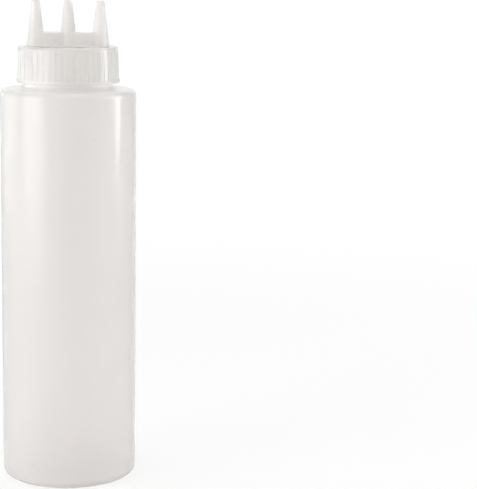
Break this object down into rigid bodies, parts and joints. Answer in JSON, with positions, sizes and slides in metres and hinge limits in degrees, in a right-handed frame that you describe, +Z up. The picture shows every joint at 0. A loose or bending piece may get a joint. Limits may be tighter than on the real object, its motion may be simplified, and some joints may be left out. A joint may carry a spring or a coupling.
{
  "type": "three-nozzle squeeze bottle",
  "caption": "Tall frosted squeeze bottle for sauces, with a ribbed screw cap whose nozzles stand in a row on a raised hollow bridge.",
  "frame": {"origin": "centre of the base, on the surface the bottle stands on", "axes": "+Z up along the bottle's axis, the row of nozzles along X, -Y towards the viewer"},
  "size_m": [0.07, 0.07, 0.249],
  "materials": {
    "bottle_plastic": "frosted translucent natural polyethylene, satin",
    "cap_plastic": "frosted translucent natural polyethylene, satin"
  },
  "bodies": {
    "root": {"bottle": "bottle_plastic", "cap": "cap_plastic"}
  },
  "joints": []
}
